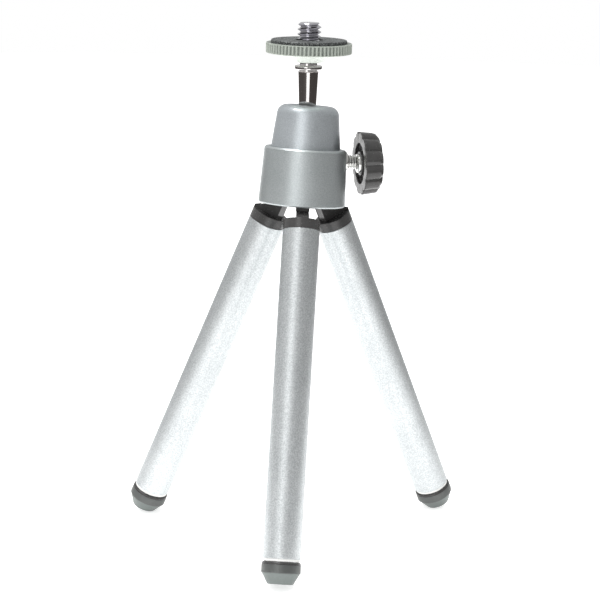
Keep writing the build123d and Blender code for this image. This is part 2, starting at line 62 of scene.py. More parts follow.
# %% camera
AIM = Vector((-0.754, -0.0045, 66.28)) * MM
CAMERA_TURN = radians(0.345)
CAMERA_RISE = radians(13.39)
CAMERA_ROLL = radians(1.391)
CAMERA_FAR = 480.58 * MM
towards_camera = Vector(
    (
        sin(CAMERA_TURN) * cos(CAMERA_RISE),
        -cos(CAMERA_TURN) * cos(CAMERA_RISE),
        sin(CAMERA_RISE),
    )
)
camera = bpy.data.objects.new("camera", bpy.data.cameras.new("camera"))
camera.data.lens = 104.32
camera.data.sensor_width = 36.0
camera.data.clip_start = 0.01
camera.location = AIM + towards_camera * CAMERA_FAR
camera.rotation_mode = "QUATERNION"
camera.rotation_quaternion = (-towards_camera).to_track_quat("-Z", "Y") @ Quaternion(
    (0, 0, 1), CAMERA_ROLL
)
bpy.context.scene.collection.objects.link(camera)
bpy.context.scene.camera = camera
print("camera at", tuple(round(c, 4) for c in camera.location))

# %% [markdown]
# ## Shader maths
# One class wraps a shader socket, so that patterns can be written as sums. A Blender
# node tree could be wired by hand, but a sum on one line shows what a finish does.

# %% shader class
WHITE = (1.0, 1.0, 1.0, 1.0)


class Wire:
    """A shader socket, or a way to reach one: sums of wires make Math nodes."""

    def __init__(self, tree, socket=None):
        self.tree = tree
        self.socket = socket

    def node(self, kind, settings=None, inputs=None, output=0):
        """Adds a node: settings first, then values and links of its inputs."""
        made = self.tree.nodes.new(kind)
        for key, value in (settings or {}).items():
            if key == "stops":
                ramp = made.color_ramp
                while len(ramp.elements) < len(value):
                    ramp.elements.new(0.5)
                for element, (place, grey) in zip(ramp.elements, value):
                    element.position = place
                    element.color = (grey, grey, grey, 1.0)
            else:
                setattr(made, key, value)
        for key, value in (inputs or {}).items():
            if isinstance(value, Wire):
                self.tree.links.new(value.socket, made.inputs[key])
            else:
                made.inputs[key].default_value = value
        return Wire(self.tree, made.outputs[output])

    def math(self, operation, *values):
        return self.node(
            "ShaderNodeMath", {"operation": operation}, dict(enumerate(values))
        )

    def __add__(self, other):
        return self.math("ADD", self, other)

    def __radd__(self, other):
        return self.math("ADD", other, self)

    def __sub__(self, other):
        return self.math("SUBTRACT", self, other)

    def __rsub__(self, other):
        return self.math("SUBTRACT", other, self)

    def __mul__(self, other):
        return self.math("MULTIPLY", self, other)

    def __rmul__(self, other):
        return self.math("MULTIPLY", other, self)


def between(mask, low, high):
    """A colour that goes from low to high as the mask goes from 0 to 1."""
    return mask.node(
        "ShaderNodeMix",
        {"data_type": "RGBA"},
        {"Factor": mask, 6: (*low, 1.0), 7: (*high, 1.0)},
        output=2,
    )


def place_of(tree):
    """Where a point is on the object, in metres, as it stands at rest."""
    return Wire(tree).node("ShaderNodeTexCoord", output="Object")


def noise(place, size, detail=2.0):
    """Cloudy pattern from 0 to 1 whose lumps are about size metres across."""
    return place.node(
        "ShaderNodeTexNoise",
        {"noise_dimensions": "3D"},
        {"Vector": place, "Scale": 1.0 / size, "Detail": detail},
    )


def finish_material(name, base, roughness, metallic=0.0, bump=None, **fixed):
    """Makes a material; base and roughness are functions of the object's place."""
    material = bpy.data.materials.new(name)
    material.use_nodes = True
    tree = material.node_tree
    shader = next(n for n in tree.nodes if n.type == "BSDF_PRINCIPLED")
    place = place_of(tree)
    shader.inputs["Metallic"].default_value = metallic
    for key, value in fixed.items():
        shader.inputs[key.replace("_", " ")].default_value = value
    tree.links.new(base(place).socket, shader.inputs["Base Color"])
    tree.links.new(roughness(place).socket, shader.inputs["Roughness"])
    if bump:
        height, depth = bump(place)
        bumped = place.node(
            "ShaderNodeBump", {}, {"Height": height, "Distance": depth, "Strength": 1.0}
        )
        tree.links.new(bumped.socket, shader.inputs["Normal"])
    material.diffuse_color = WHITE
    return material


print("shader class ready")

# %% [markdown]
# ## Finishes
# The housing is die-cast and sprayed with silver paint, whose flakes show as fine
# grain. The legs are blasted and anodised. The stem, the ball and the camera screw
# are polished and plated. Each finish could be a flat colour, but real ones vary at
# the size of a flake or a blasting pit, so each is noise in millimetres on the object.

# %% finishes
materials = {}


def clamp01(wire):
    """The wire's value kept between 0 and 1."""
    return wire.node("ShaderNodeClamp", {}, {"Value": wire})


def grains(place, size):
    """Sharp-edged grain from 0 to 1, for flakes and blasted metal."""
    return clamp01((noise(place, size, 1.0) - 0.36) * 3.6)


def silver(name, dark, light):
    """Sprayed silver paint: a cloudy base with flakes and a little orange peel."""
    return finish_material(
        name,
        base=lambda place: between(
            grains(place, 0.26 * MM) * 0.55 + noise(place, 7 * MM) * 0.45, dark, light
        ),
        roughness=lambda place: 0.36 + grains(place, 0.30 * MM) * 0.10,
        metallic=0.9,
        bump=lambda place: (noise(place, 0.35 * MM, 1.0), 0.010 * MM),
    )


materials["silver_paint"] = silver(
    "silver_paint", (0.40, 0.44, 0.445), (0.58, 0.61, 0.615)
)
materials["silver_dome"] = silver(
    "silver_dome", (0.42, 0.455, 0.475), (0.60, 0.635, 0.66)
)
materials["leg_aluminium"] = finish_material(
    "leg_aluminium",
    base=lambda place: between(
        grains(place, 0.34 * MM) * 0.52 + noise(place, 14 * MM) * 0.48,
        (0.44, 0.465, 0.475),
        (0.75, 0.775, 0.78),
    ),
    roughness=lambda place: 0.40 + grains(place, 0.40 * MM) * 0.16,
    metallic=1.0,
    bump=lambda place: (noise(place, 0.40 * MM, 2.0), 0.025 * MM),
)
materials["inner_aluminium"] = finish_material(
    "inner_aluminium",
    base=lambda place: between(
        noise(place, 3 * MM), (0.74, 0.75, 0.76), (0.82, 0.83, 0.84)
    ),
    roughness=lambda place: 0.16 + noise(place, 0.4 * MM) * 0.10,
    metallic=1.0,
)
materials["chrome"] = finish_material(
    "chrome",
    base=lambda place: between(
        noise(place, 6 * MM), (0.56, 0.54, 0.53), (0.66, 0.64, 0.63)
    ),
    roughness=lambda place: 0.05 + noise(place, 1.2 * MM) * 0.07,
    metallic=1.0,
)
# Painted shade: the camera screw has the same plating as the stem; this darker, purplish copy of the chrome stands
# in for the darker reflections on its thread.
materials["chrome_painted_shade"] = finish_material(
    "chrome_painted_shade",
    base=lambda place: between(
        noise(place, 1.5 * MM), (0.52, 0.51, 0.55), (0.62, 0.61, 0.65)
    ),
    roughness=lambda place: 0.07 + noise(place, 0.8 * MM) * 0.08,
    metallic=1.0,
)
materials["steel"] = finish_material(
    "steel",
    base=lambda place: between(
        noise(place, 2 * MM), (0.66, 0.66, 0.64), (0.78, 0.78, 0.76)
    ),
    roughness=lambda place: 0.12 + noise(place, 0.5 * MM) * 0.10,
    metallic=1.0,
)
materials["black_plastic"] = finish_material(
    "black_plastic",
    base=lambda place: between(
        noise(place, 0.5 * MM) * 0.5 + noise(place, 5 * MM) * 0.5,
        (0.030, 0.029, 0.029),
        (0.055, 0.054, 0.053),
    ),
    roughness=lambda place: 0.18 + noise(place, 0.5 * MM) * 0.14,
    bump=lambda place: (noise(place, 0.5 * MM, 1.0), 0.010 * MM),
)


def disc_base_with_painted_light(place):
    """Grey-green rim with painted shade in its grooves, and a hub below it painted pale as painted light."""
    east = place.node("ShaderNodeSeparateXYZ", {}, {0: place}, output=0)
    north = place.node("ShaderNodeSeparateXYZ", {}, {0: place}, output=1)
    high = place.node("ShaderNodeSeparateXYZ", {}, {0: place}, output=2)
    reach = place.math("SQRT", east * east + north * north)
    # Painted shade: the grooves between the ribs are darker than the crests.
    crest_over_painted_groove_shade = clamp01((reach - 11.12 * MM) * (1 / (0.30 * MM)))
    rim = between(
        crest_over_painted_groove_shade * 0.8 + noise(place, 1.5 * MM) * 0.2,
        (0.150, 0.168, 0.150),
        (0.345, 0.375, 0.332),
    )
    # Painted light: below the rim's foot, the hub's underside is painted pale.
    upper = clamp01((high - RIM_FOOT) * (1 / (0.12 * MM)))
    return upper.node(
        "ShaderNodeMix",
        {"data_type": "RGBA"},
        {"Factor": upper, 6: (0.62, 0.66, 0.61, 1.0), 7: rim},
        output=2,
    )


BALL_TOP_UP = 6.25
RIM_FOOT_UP = 20.80
RIM_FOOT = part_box("ball")[1].z + (RIM_FOOT_UP - BALL_TOP_UP) * MM
# The disc's colour carries painted shade in the grooves and painted light on the hub.
materials["disc_plastic"] = finish_material(
    "disc_plastic",
    base=disc_base_with_painted_light,
    roughness=lambda place: 0.36 + noise(place, 0.6 * MM) * 0.12,
)
materials["pad_rubber"] = finish_material(
    "pad_rubber",
    base=lambda place: between(
        clamp01((noise(place, 0.32 * MM, 1.0) - 0.45) * 5.0),
        (0.020, 0.022, 0.022),
        (0.200, 0.212, 0.210),
    ),
    roughness=lambda place: 0.55 + noise(place, 0.3 * MM) * 0.2,
    bump=lambda place: (noise(place, 0.32 * MM, 1.0), 0.05 * MM),
)
materials["sole_rubber"] = finish_material(
    "sole_rubber",
    base=lambda place: between(
        noise(place, 0.6 * MM) * 0.4 + noise(place, 4 * MM) * 0.6,
        (0.135, 0.152, 0.146),
        (0.190, 0.212, 0.204),
    ),
    roughness=lambda place: 0.34 + noise(place, 0.5 * MM) * 0.14,
    metallic=0.6,
)
materials["white_plastic"] = finish_material(
    "white_plastic",
    base=lambda place: between(
        noise(place, 3 * MM), (0.78, 0.78, 0.76), (0.86, 0.86, 0.84)
    ),
    roughness=lambda place: 0.36 + noise(place, 0.5 * MM) * 0.14,
)
materials["foot_rubber"] = finish_material(
    "foot_rubber",
    base=lambda place: between(
        noise(place, 0.6 * MM) * 0.4 + noise(place, 4 * MM) * 0.6,
        (0.085, 0.090, 0.088),
        (0.135, 0.142, 0.138),
    ),
    roughness=lambda place: 0.36 + noise(place, 0.5 * MM) * 0.16,
    metallic=0.6,
    bump=lambda place: (noise(place, 0.25 * MM, 1.0), 0.006 * MM),
)
for name, node in frame["nodes"].items():
    wanted = next(
        part["material_slot"]
        for part in frame["record"]["subparts"]
        if part["node"] == name
    )
    node.data.materials.clear()
    node.data.materials.append(materials[wanted])
print("materials", sorted(materials))

# %% [markdown]
# ## Frames
# Every axis comes from the CAD's joints: the ball's centre, the housing's own axis,
# the clamp screw's axis, and each leg's hinge and slide. The housing leans and the
# legs are spread unequally, so reading the axes is safer than stating the angles.

# %% frames
BALL_ABOVE_RIM = 19.95 * MM


def axis_frame(origin, up, out):
    """A frame at origin whose Z is up, and whose X is as near to out as it can be."""
    up = Vector(up).normalized()
    out = (Vector(out) - up * up.dot(Vector(out))).normalized()
    turned = Matrix((out, up.cross(out), up)).transposed().to_4x4()
    return Matrix.Translation(origin) @ turned


def pivot(name):
    return Vector(joints[name]["pos_m"])


def heading(name):
    return Vector(joints[name]["axis"]).normalized()


STEM = axis_frame(pivot("head_tilt_fore_aft"), (0, 0, 1), (1, 0, 0))
housing_up = -heading("cup_drop")
HOUSING = axis_frame(
    pivot("head_tilt_fore_aft") - housing_up * BALL_ABOVE_RIM, housing_up, (1, 0, 0)
)
CLAMP = axis_frame(pivot("knob_turn"), heading("knob_turn"), housing_up)
LEG_NAMES = ("front", "right", "left")
LEGS = {
    name: axis_frame(
        pivot(f"leg_fold_{name}"),
        heading(f"leg_extend_{name}"),
        heading(f"leg_fold_{name}").cross(heading(f"leg_extend_{name}")),
    )
    for name in LEG_NAMES
}
print("housing up", tuple(round(c, 4) for c in housing_up))

# %% [markdown]
# ## Mesh helpers
# Most pieces were turned or moulded round an axis, so an outline with rounded
# corners is swept round it; a relief changes the radius for ribs and lobes.

# %% outline with rounded corners
ROUND_STEPS = 5


def soften(corners, loop=False):
    """Points of an outline in mm: each corner is (radius, height, rounding)."""
    points = []
    count = len(corners)
    for index, (radius, height, *rounding) in enumerate(corners):
        here = Vector((radius, height))
        ends = index in (0, count - 1) and not loop
        if ends or not rounding:
            points.append(here)
            continue
        back = Vector(corners[index - 1][:2]) - here
        on = Vector(corners[(index + 1) % count][:2]) - here
        half = back.angle(on) / 2
        reach = min(rounding[0] / tan(half), 0.85 * back.length, 0.85 * on.length)
        bisector = (back.normalized() + on.normalized()).normalized()
        centre = here + bisector * reach / cos(half)
        first = here + back.normalized() * reach - centre
        sweep = pi - 2 * half
        side = 1 if back.x * on.y - back.y * on.x < 0 else -1
        for step in range(ROUND_STEPS + 1):
            turn = Matrix.Rotation(side * sweep * step / ROUND_STEPS, 2)
            points.append(centre + turn @ first)
    return points


def lathe(place, outline, steps=96, relief=None):
    """Sweeps an outline round the place's Z axis; it closes at poles or as a ring."""
    solid = bmesh.new()
    rings = []
    for radius, height in outline:
        if radius < 1e-4:
            rings.append([solid.verts.new((0, 0, height * MM))])
            continue
        ring = []
        for step in range(steps):
            angle = 2 * pi * step / steps
            reach = relief(angle, radius, height) if relief else radius
            ring.append(
                solid.verts.new(
                    (reach * cos(angle) * MM, reach * sin(angle) * MM, height * MM)
                )
            )
        rings.append(ring)
    pairs = list(zip(rings, rings[1:]))
    if len(rings[0]) > 1:
        pairs.append((rings[-1], rings[0]))
    for low, high in pairs:
        for step in range(steps):
            corners = [
                low[step % len(low)],
                low[(step + 1) % len(low)],
                high[(step + 1) % len(high)],
                high[step % len(high)],
            ]
            corners = list(dict.fromkeys(corners))
            if len(corners) > 2:
                solid.faces.new(corners)
    bmesh.ops.recalc_face_normals(solid, faces=solid.faces)
    solid.transform(place)
    return solid


# %% prism, thread and cuts
def prism(place, outline, low, high):
    """Straight solid on a flat outline in mm, from low to high along the place's Z."""
    solid = bmesh.new()
    bottom = [solid.verts.new((x * MM, y * MM, low * MM)) for x, y in outline]
    top = [solid.verts.new((x * MM, y * MM, high * MM)) for x, y in outline]
    solid.faces.new(bottom[::-1])
    solid.faces.new(top)
    for here in range(len(outline)):
        there = (here + 1) % len(outline)
        solid.faces.new((bottom[here], bottom[there], top[there], top[here]))
    bmesh.ops.recalc_face_normals(solid, faces=solid.faces)
    solid.transform(place)
    return solid


THREAD_SHAPE = (
    (0.0, 0.93), (0.03, 1.0), (0.09, 1.0), (0.12, 0.93),
    (0.28, 0.5), (0.43, 0.06), (0.48, 0.0), (0.64, 0.0), (0.69, 0.06), (0.85, 0.5),
)


def threaded_rod(place, radius, depth, pitch, low, high, tip=0.0, steps=72):
    """Right-hand thread between two flat ends, with a chamfer at the top end."""
    solid = bmesh.new()
    turns = ceil((high - low) / pitch) + 2
    columns = []
    for step in range(steps):
        angle = 2 * pi * step / steps
        column = []
        for turn in range(-1, turns + 1):
            for phase, share in THREAD_SHAPE:
                height = low + pitch * (turn + phase + step / steps)
                reach = radius - depth * (1 - share)
                reach = min(reach, radius - tip + max(high - height, 0.0))
                column.append(
                    solid.verts.new(
                        (reach * cos(angle) * MM, reach * sin(angle) * MM, height * MM)
                    )
                )
        columns.append(column)
    rows = len(columns[0])
    shift = len(THREAD_SHAPE)
    for step in range(steps):
        last = step == steps - 1
        near = columns[step]
        far = columns[(step + 1) % steps]
        lift = shift if last else 0
        for row in range(rows - 1 - lift):
            solid.faces.new(
                (near[row], far[row + lift], far[row + lift + 1], near[row + 1])
            )
    for height, side in ((low, -1), (high, 1)):
        bmesh.ops.bisect_plane(
            solid,
            geom=solid.verts[:] + solid.edges[:] + solid.faces[:],
            plane_co=(0, 0, height * MM),
            plane_no=(0, 0, side),
            clear_outer=True,
        )
    loose = [v for v in solid.verts if not v.link_faces]
    bmesh.ops.delete(solid, geom=loose, context="VERTS")
    rims = [edge for edge in solid.edges if edge.is_boundary]
    bmesh.ops.holes_fill(solid, edges=rims, sides=0)
    bmesh.ops.recalc_face_normals(solid, faces=solid.faces)
    solid.transform(place)
    return solid


def as_object(name, solid):
    mesh = bpy.data.meshes.new(name)
    solid.to_mesh(mesh)
    solid.free()
    made = bpy.data.objects.new(name, mesh)
    bpy.context.scene.collection.objects.link(made)
    return made


def cut(piece, *tools):
    """Takes the tools' solids out of the piece's mesh."""
    for tool in tools:
        cutter = as_object("cutter", tool)
        modifier = piece.modifiers.new("cut", "BOOLEAN")
        modifier.operation = "DIFFERENCE"
        modifier.solver = "EXACT"
        modifier.object = cutter
        bpy.context.view_layer.update()
        graph = bpy.context.evaluated_depsgraph_get()
        mesh = bpy.data.meshes.new_from_object(piece.evaluated_get(graph))
        piece.modifiers.clear()
        piece.data = mesh
        bpy.data.objects.remove(cutter)


# %% piece: material, body and the CAD node it stands for
def finish_piece(piece, body, material, nodes, crease=32):
    mesh = piece.data
    mesh.materials.clear()
    mesh.materials.append(materials[material])
    for polygon in mesh.polygons:
        polygon.use_smooth = True
    mesh.set_sharp_from_angle(angle=radians(crease))
    modifier = piece.modifiers.new("even_normals", "WEIGHTED_NORMAL")
    modifier.keep_sharp = True
    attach(piece, body)
    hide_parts(*nodes)
    print("made", piece.name, len(mesh.polygons), "faces")
    return piece


def make(name, solid, body, material, *nodes, crease=32, slot=None):
    return finish_piece(as_object(name, solid), body, material, nodes, crease)


# %% [markdown]
# ## Ball and stem
# A steel ball and a tapered stem, turned from one bar and chrome plated. Both are
# swept outlines; the stem's foot is hollow so that it rides on the ball.

# %% ball and stem
BALL_R = 6.25
STEM_TOP = 16.0
FLANGE_LOW = 16.6
FLANGE_TOP = 17.55

ball_outline = [
    (BALL_R * sin(pi * step / 48), -BALL_R * cos(pi * step / 48)) for step in range(49)
]
ball_outline[0] = (0.0, -BALL_R)
ball_outline[-1] = (0.0, BALL_R)
make("ball_turned", lathe(STEM, ball_outline), "ball", "chrome", "ball")

foot_reach = BALL_R + 0.07
foot_angle = 0.381
stem_outline = [
    (foot_reach * sin(foot_angle * step / 6), foot_reach * cos(foot_angle * step / 6))
    for step in range(7)
]
stem_outline += soften(
    [
        (2.35, foot_reach * cos(foot_angle)),
        (2.78, STEM_TOP, 0.12),
        (2.45, STEM_TOP + 0.05, 0.04),
        (2.45, FLANGE_LOW - 0.02, 0.03),
        (1.45, FLANGE_LOW - 0.02, 0.03),
        (1.45, 10.3, 0.1),
        (0.0, 10.3),
    ]
)[1:]
make("stem_turned", lathe(STEM, stem_outline), "stem", "chrome", "stem")

# %% [markdown]
# ## Camera screw
# The stud turns in the stem. Its flange and neck are turned, and the quarter inch
# thread is cut: 20 turns to the inch, drawn as a real helix.

# %% stud and thread
SCREW_R = 3.175
SCREW_PITCH = 1.27
SCREW_TIP = 0.7
PAD_TOP = 24.43
SCREW_TOP = PAD_TOP + 4.5
HUB_FACE = 18.53

stud_outline = soften(
    [
        (0.0, 10.6),
        (1.4, 10.6, 0.1),
        (1.4, FLANGE_LOW),
        (3.75, FLANGE_LOW, 0.22),
        (3.75, FLANGE_TOP, 0.22),
        (2.35, FLANGE_TOP + 0.03, 0.1),
        (2.35, HUB_FACE + 0.1, 0.1),
        (2.5, HUB_FACE + 0.3),
        (0.0, HUB_FACE + 0.3),
    ]
)
make("stud_flange", lathe(STEM, stud_outline), "stud", "chrome", "camera_stud")
# The thread wears the darker copy of the chrome, as painted shade.
make(
    "camera_screw_thread",
    threaded_rod(
        STEM, SCREW_R, 0.74, SCREW_PITCH, HUB_FACE + 0.25, SCREW_TOP, tip=SCREW_TIP
    ),
    "stud",
    "chrome_painted_shade",
    "camera_stud",
    crease=50,
    slot="chrome",
)

# %% [markdown]
# ## Lock disc and pad
# A moulded disc with a ribbed rim and a conical hub. The ribs stop short of the
# rim's two edges, so the edges stay round. A rubber ring lies on top.

# %% lock disc
RIBS = 66
RIB_DEPTH = 0.28
DISC_R = 11.5
DISC_LOW = 20.88
DISC_TOP = 23.58


def ribbed(angle, radius, height):
    """Rim radius with round-backed ribs between the two edges."""
    if radius < DISC_R - 0.4:
        return radius
    wave = 0.5 - 0.5 * cos(RIBS * angle)
    groove = 1 - min(1.0, max(0.0, wave - 0.28) * 2.4)
    fade = min(1.0, max(0.0, (DISC_TOP - 0.12 - height) / 0.2))
    fade *= min(1.0, max(0.0, (height - DISC_LOW - 0.1) / 0.25))
    return radius - 1.4 * RIB_DEPTH * groove * fade


disc_outline = soften(
    [
        (3.23, HUB_FACE + 0.05, 0.1),
        (4.3, HUB_FACE + 0.02, 0.25),
        (9.0, DISC_LOW - 0.08, 0.5),
        (DISC_R, DISC_LOW, 0.22),
        (DISC_R, DISC_LOW + 0.36),
        (DISC_R, DISC_TOP - 0.34),
        (DISC_R, DISC_TOP, 0.12),
        (10.28, DISC_TOP, 0.08),
        (10.28, DISC_TOP - 0.5, 0.05),
        (5.3, DISC_TOP - 0.5, 0.05),
        (5.3, DISC_TOP - 1.36, 0.05),
        (4.25, DISC_TOP - 1.36),
        (4.25, HUB_FACE + 0.75, 0.05),
        (3.23, HUB_FACE + 0.75, 0.05),
    ],
    loop=True,
)
make(
    "lock_disc_ribbed",
    lathe(STEM, disc_outline, RIBS * 8, ribbed),
    "disc",
    "disc_plastic",
    "lock_disc",
    crease=50,
)

# %% pad
pad_outline = soften(
    [
        (3.6, DISC_TOP - 0.48, 0.05),
        (10.18, DISC_TOP - 0.48, 0.05),
        (10.18, PAD_TOP, 0.3),
        (3.6, PAD_TOP, 0.15),
    ],
    loop=True,
)
make("pad_ring", lathe(STEM, pad_outline, 128), "disc", "pad_rubber", "disc_pad")

# %% [markdown]
# ## Dome and collar
# Two castings screwed together. The dome holds the ball; its shoulder is well
# rounded, with a lip round the throat. The collar has a thin ledge round the dome,
# a groove beside it, and bevelled edges. Both are round, so each is one swept
# outline, and the clamp screw's hole is cut through the wall afterwards.

# %% dome
DOME_TOP = 26.8
COLLAR_H = 15.35
dome_outline = soften(
    [
        (5.3, DOME_TOP - 3.0, 0.1),
        (5.3, DOME_TOP, 0.45),
        (8.16, DOME_TOP, 2.6),
        (9.4, COLLAR_H, 0.02),
        (9.05, COLLAR_H - 0.02, 0.02),
        (9.05, 9.72, 0.1),
        (8.0, 9.72, 0.1),
        (8.0, 16.55, 0.1),
        (6.33, 16.6, 0.05),
        (6.33, 20.6, 0.3),
    ],
    loop=True,
)
dome = as_object("dome_cast", lathe(HOUSING, dome_outline, 128))
cut(dome, lathe(CLAMP, [(0, 0), (2.3, 0), (2.3, 9.6), (0, 9.6)], 48))
finish_piece(dome, "housing", "silver_dome", ["dome"])

# %% collar
collar_outline = soften(
    [
        (10.45, 0.25, 0.15),
        (10.7, 0.0, 0.1),
        (11.5, 0.0, 0.06),
        (11.84, 0.36, 0.08),
        (11.17, COLLAR_H - 0.5, 0.12),
        (10.72, COLLAR_H, 0.1),
        (10.0, COLLAR_H, 0.06),
        (9.7, COLLAR_H - 0.3, 0.05),
        (9.42, COLLAR_H - 0.3, 0.05),
        (9.42, COLLAR_H - 0.6, 0.05),
        (9.08, COLLAR_H - 0.6, 0.05),
        (9.08, 9.62, 0.05),
        (1.5, 9.6, 0.1),
        (1.5, 7.7, 0.1),
        (10.45, 7.7, 0.3),
    ],
    loop=True,
)
collar = as_object("collar_cast", lathe(HOUSING, collar_outline, 128))
cut(collar, lathe(CLAMP, [(0, 5), (2.62, 5), (2.62, 13), (0, 13)], 48))
finish_piece(collar, "housing", "silver_paint", ["collar"])

# %% bushing
bushing_outline = soften(
    [
        (2.05, 9.1, 0.1),
        (2.58, 9.1, 0.1),
        (2.58, 11.54, 0.12),
        (2.05, 11.54, 0.2),
    ],
    loop=True,
)
make(
    "bushing_turned", lathe(CLAMP, bushing_outline, 64), "housing", "steel",
    "knob_bushing",
)

# %% [markdown]
# ## Clamp knob
# A moulded knob with twelve lobes on a nickel plated screw. It sits a little askew,
# so it has a frame of its own, tilted about its middle. The side towards the collar
# is hollow, with a boss round the screw. The lobes are a change of radius in the
# sweep, which keeps the mesh closed where separate lobes would have to be joined.

# %% knob
KNOB_LEAN = radians(5.3)
KNOB_T = 5.2
KNOB_NARROWING = tan(radians(6.0))
LOBES = 12
KNOB_R = 8.75
KNOB_VALLEY_R = 8.1
KNOB_START = 15.2
knob_axis = (CLAMP.to_3x3() @ Vector((sin(KNOB_LEAN), 0, cos(KNOB_LEAN)))).normalized()
KNOB = axis_frame(
    CLAMP @ Vector((0, 0, (KNOB_START + KNOB_T / 2) * MM)), knob_axis, housing_up
) @ Matrix.Translation((0, 0, -KNOB_T / 2 * MM))


def lobed(angle, radius, height):
    """Lobes as circle arcs between the valleys; they fade out towards the middle."""
    if radius < 5.8:
        return radius
    part = (angle * LOBES / (2 * pi)) % 1.0
    share = 1 - abs(2 * part - 1) ** 2.2
    valley = (KNOB_R - KNOB_VALLEY_R) * min(1.0, (radius - 5.8) / 1.6)
    return radius - valley * (1 - share)


knob_outline = soften(
    [
        (0.0, 3.6),
        (1.95, 3.6, 0.1),
        (1.95, 0.0, 0.1),
        (3.3, 0.0, 0.25),
        (3.3, 1.1, 0.15),
        (5.6, 1.1, 0.15),
        (5.6, 0.02, 0.15),
        (KNOB_R - 0.03, 0.02, 0.22),
        (KNOB_R - 0.03 - 4.1 * KNOB_NARROWING, 4.1, 0.6),
        (KNOB_R - 1.13 - KNOB_T * KNOB_NARROWING, KNOB_T - 0.02, 0.5),
        (5.6, KNOB_T - 0.02, 0.2),
        (5.3, KNOB_T - 0.3, 0.2),
        (0.0, KNOB_T - 0.3),
    ]
)
make(
    "knob_moulded",
    lathe(KNOB, knob_outline, LOBES * 20, lobed),
    "knob",
    "black_plastic",
    "knob",
    crease=38,
)

# %% clamp screw
# The thread is cut on the screw; the shoulder is a ferrule that only this model has.
CLAMP_PITCH = 0.7
make(
    "clamp_screw_thread",
    threaded_rod(CLAMP, 1.98, 0.42, CLAMP_PITCH, 8.3, KNOB_START + 3.2, steps=48),
    "knob",
    "steel",
    "knob_screw",
    crease=50,
)
ferrule_outline = soften(
    [
        (1.6, -0.75, 0.1),
        (2.55, -0.75, 0.2),
        (2.7, 0.1, 0.1),
        (1.6, 0.1, 0.05),
    ],
    loop=True,
)
make(
    "clamp_screw_shoulder", lathe(KNOB, ferrule_outline, 64), "knob", "steel",
    "knob_screw",
)

# %% [markdown]
# ## Leg hub
# A black moulding up inside the collar, held by a cross-head screw. Three slots
# take the legs' tongues. It is a swept ring, with the slots and the cross cut out
# as the mould and the punch would form them. The screw's end inside is out of sight
# and is drawn shorter than in the CAD.

# %% leg hub
LEG_AZIMUTHS = {"front": -87.55, "right": 32.45, "left": 152.45}
hub_outline = soften(
    [
        (1.52, 0.8, 0.1),
        (10.43, 0.8, 0.4),
        (10.43, 7.68, 0.1),
        (1.52, 7.68, 0.1),
    ],
    loop=True,
)
hub = as_object("leg_hub_moulded", lathe(HOUSING, hub_outline, 96))
for azimuth in LEG_AZIMUTHS.values():
    slot_place = HOUSING @ Matrix.Rotation(radians(azimuth), 4, "Z")
    slot_outline = [(2.9, -1.75), (12.5, -1.75), (12.5, 1.75), (2.9, 1.75)]
    cut(hub, prism(slot_place, slot_outline, 0.0, 6.75))
finish_piece(hub, "housing", "black_plastic", ["leg_hub"])

# %% hub screw
head_outline = soften(
    [
        (0.0, -0.9),
        (1.6, -0.9, 0.5),
        (2.65, -0.35, 0.3),
        (2.65, 0.78, 0.08),
        (1.48, 0.78),
        (1.48, 7.0, 0.2),
        (0.0, 7.0),
    ]
)
hub_screw = as_object("hub_screw_turned", lathe(HOUSING, head_outline, 64))
cross_outline = [
    (-0.28, -1.5), (0.28, -1.5), (0.28, -0.28), (1.5, -0.28), (1.5, 0.28), (0.28, 0.28),
    (0.28, 1.5), (-0.28, 1.5), (-0.28, 0.28), (-1.5, 0.28), (-1.5, -0.28), (-0.28, -0.28),
]
cut(hub_screw, prism(HOUSING, cross_outline, -1.5, -0.05))
finish_piece(hub_screw, "housing", "steel", ["hub_screw"])

# %% [markdown]
# ## Legs
# Each leg is a black moulded tongue and band, an outer tube, a bush, an inner tube
# and a rubber foot. The tongue's upper edge is cut on a slant, so that the leg can
# open until the edge meets the collar's rim. The tongue is flat, so it is a straight
# solid with bevelled edges; all the rest of a leg is round.

# %% tongue
TONGUE_HALF = 1.65
OPEN_BY = radians(29.5)
RIM_DROP = 4.15
CUT_START = 3.65
EYE_R = 2.6


def tongue_outline():
    corner = (
        CUT_START * cos(OPEN_BY) - RIM_DROP * sin(OPEN_BY),
        RIM_DROP * cos(OPEN_BY) + CUT_START * sin(OPEN_BY),
    )
    cut_end = (4.6, (RIM_DROP + 4.6 * sin(OPEN_BY)) / cos(OPEN_BY))
    eye = [
        (EYE_R * cos(radians(a)), EYE_R * sin(radians(a)))
        for a in range(-200, 21, 10)
    ]
    return eye + [corner, cut_end, (4.6, 8.1), (-3.2, 8.1), (-3.2, EYE_R)]


def make_tongue(name, leg):
    """Tongue with bevelled edges; its outline stands in the leg's own plane."""
    sideways = leg @ Matrix.Rotation(radians(90), 4, "X")
    solid = prism(sideways, tongue_outline(), -TONGUE_HALF, TONGUE_HALF)
    sharp = [
        edge for edge in solid.edges if edge.calc_face_angle(0) > radians(35)
    ]
    bmesh.ops.bevel(
        solid, geom=sharp, offset=0.14 * MM, segments=2, profile=0.5, affect="EDGES"
    )
    return make(
        f"leg_tongue_{name}", solid, f"leg_{name}", "black_plastic", f"leg_plug_{name}"
    )


for name, leg in LEGS.items():
    tongue = make_tongue(name, leg)
    print(name, "tongue reaches", tuple(round(c, 4) for c in tongue.bound_box[6]))

# %% [markdown]
# The band closes the tube's end and its peg goes down inside the tube. The bush is
# fixed in the tube's lower end, and the inner tube slides in it with the foot on its
# end. One loop makes all three legs, because they differ only in their frames.

# %% bands, tubes, bushes and feet
TUBE_TOP = 10.5
TUBE_END = 97.3
FOOT_TOP = 98.05
FOOT_END = 103.9

